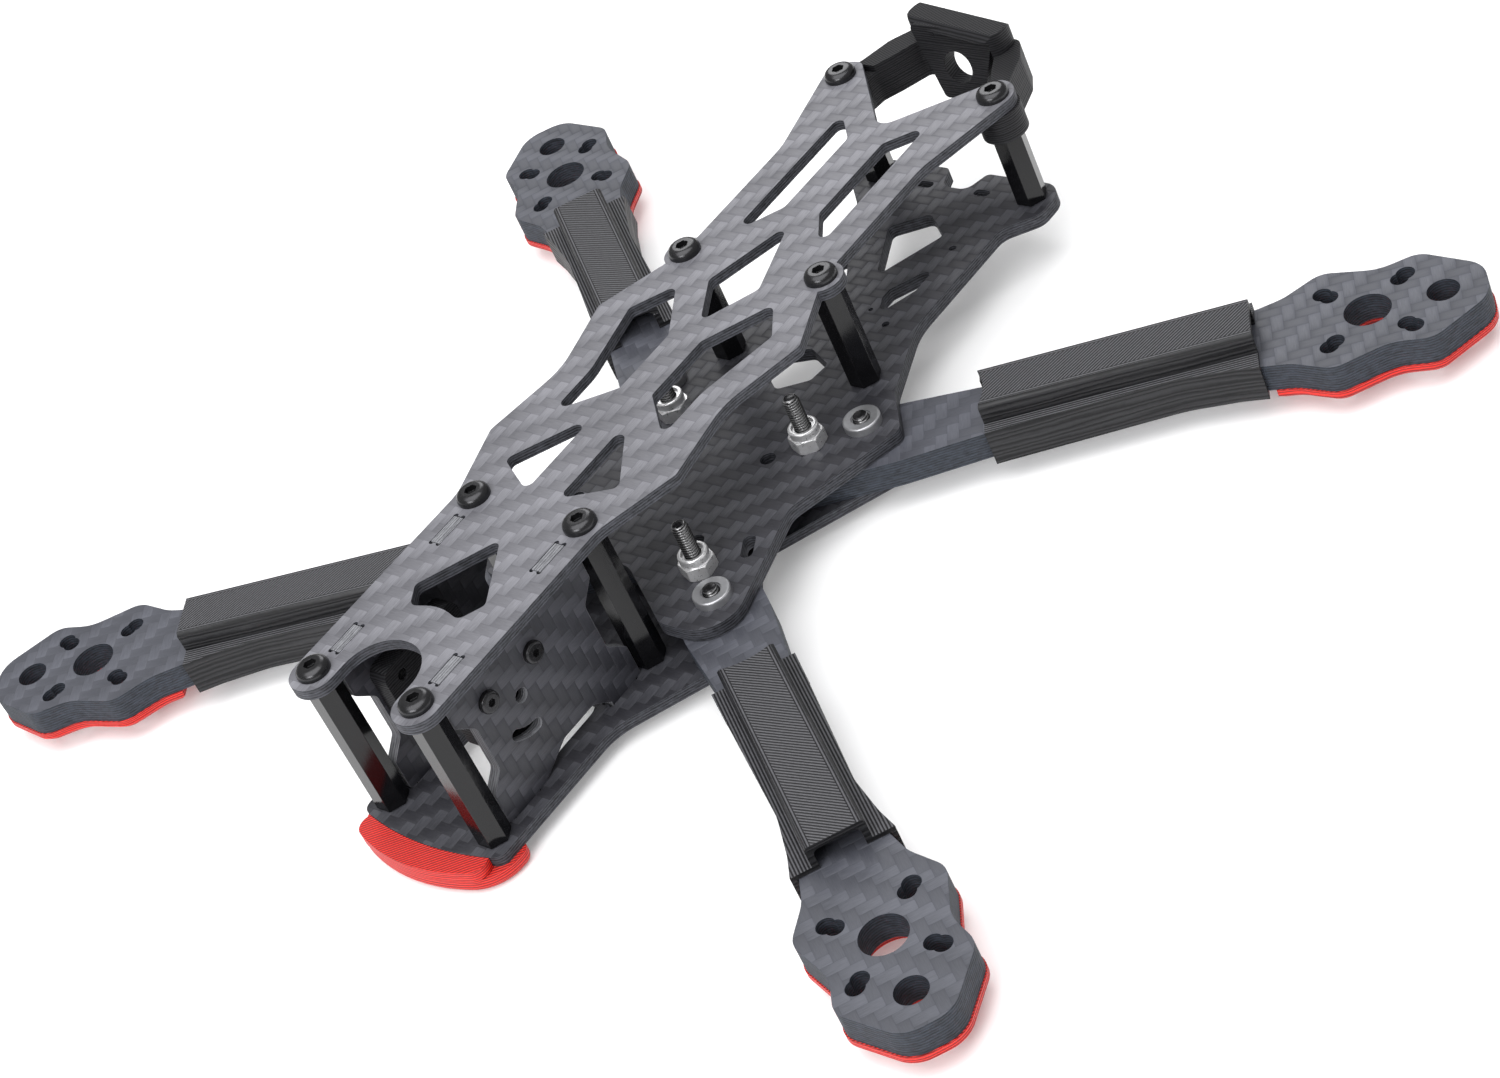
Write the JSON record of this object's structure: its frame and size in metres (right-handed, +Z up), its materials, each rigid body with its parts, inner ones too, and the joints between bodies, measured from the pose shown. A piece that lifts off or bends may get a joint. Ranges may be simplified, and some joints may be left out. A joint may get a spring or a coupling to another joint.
{
  "type": "quadcopter airframe",
  "caption": "Bare carbon airframe of a small racing quadcopter: slim arms with motor pads, stacked plates on standoffs, printed soft guards, nose bumper and tail antenna mount.",
  "frame": {"origin": "centre of the flight stack screw pattern, on the top face of the mid plate", "axes": "+Z up through the plates, -Y to the nose with its red bumper, +X to the craft's own left"},
  "size_m": [0.215, 0.1791, 0.0381],
  "materials": {
    "carbon_light": "woven carbon laminate, satin clear resin",
    "carbon_dark": "woven carbon laminate, satin",
    "carbon_arm": "thick woven carbon laminate, satin, cut edges with layers",
    "black_print": "soft black print with layer lines",
    "red_print": "soft red print with layer lines",
    "black_anodised": "black anodised, glossy",
    "black_steel": "black oxide, glossy",
    "zinc_steel": "bright zinc plate"
  },
  "bodies": {
    "root": {"antenna_mount": "black_print", "arm_front_left": "carbon_arm", "arm_front_right": "carbon_arm", "arm_rear_left": "carbon_arm", "arm_rear_right": "carbon_arm", "arm_screws": "black_steel", "bottom_plate": "carbon_dark", "camera_bracket_left": "black_print", "camera_bracket_right": "black_print", "camera_bracket_screws": "black_steel", "camera_plate_left": "carbon_dark", "camera_plate_right": "carbon_dark", "mid_plate": "carbon_dark", "motor_skid_front_left": "red_print", "motor_skid_front_right": "red_print", "motor_skid_rear_left": "red_print", "motor_skid_rear_right": "red_print", "nose_bumper": "red_print", "press_nuts": "zinc_steel", "stack_nuts": "zinc_steel", "stack_screws": "black_steel", "standoff_base_screws": "black_steel", "standoff_camera_left": "black_anodised", "standoff_camera_right": "black_anodised", "standoff_nose_left": "black_anodised", "standoff_nose_right": "black_anodised", "standoff_tail_left": "black_anodised", "standoff_tail_right": "black_anodised", "standoff_waist_left": "black_anodised", "standoff_waist_right": "black_anodised", "top_plate": "carbon_light", "top_plate_screws": "black_steel"},
    "guard_front_left": {"arm_guard_front_left": "black_print"},
    "guard_front_right": {"arm_guard_front_right": "black_print"},
    "guard_rear_left": {"arm_guard_rear_left": "black_print"},
    "guard_rear_right": {"arm_guard_rear_right": "black_print"}
  },
  "joints": [
    {"name": "guard_front_left_slide", "type": "slide", "parent": "root", "child": "guard_front_left", "axis": [-0.8273, 0.5617, 0], "range_m": [0, 0.002]},
    {"name": "guard_front_right_slide", "type": "slide", "parent": "root", "child": "guard_front_right", "axis": [0.8273, 0.5617, 0], "range_m": [-0.0019, 0]},
    {"name": "guard_rear_left_slide", "type": "slide", "parent": "root", "child": "guard_rear_left", "axis": [-0.8119, -0.5838, 0], "range_m": [0, 0.002]},
    {"name": "guard_rear_right_slide", "type": "slide", "parent": "root", "child": "guard_rear_right", "axis": [0.8119, -0.5838, 0], "range_m": [0, 0.002]}
  ]
}
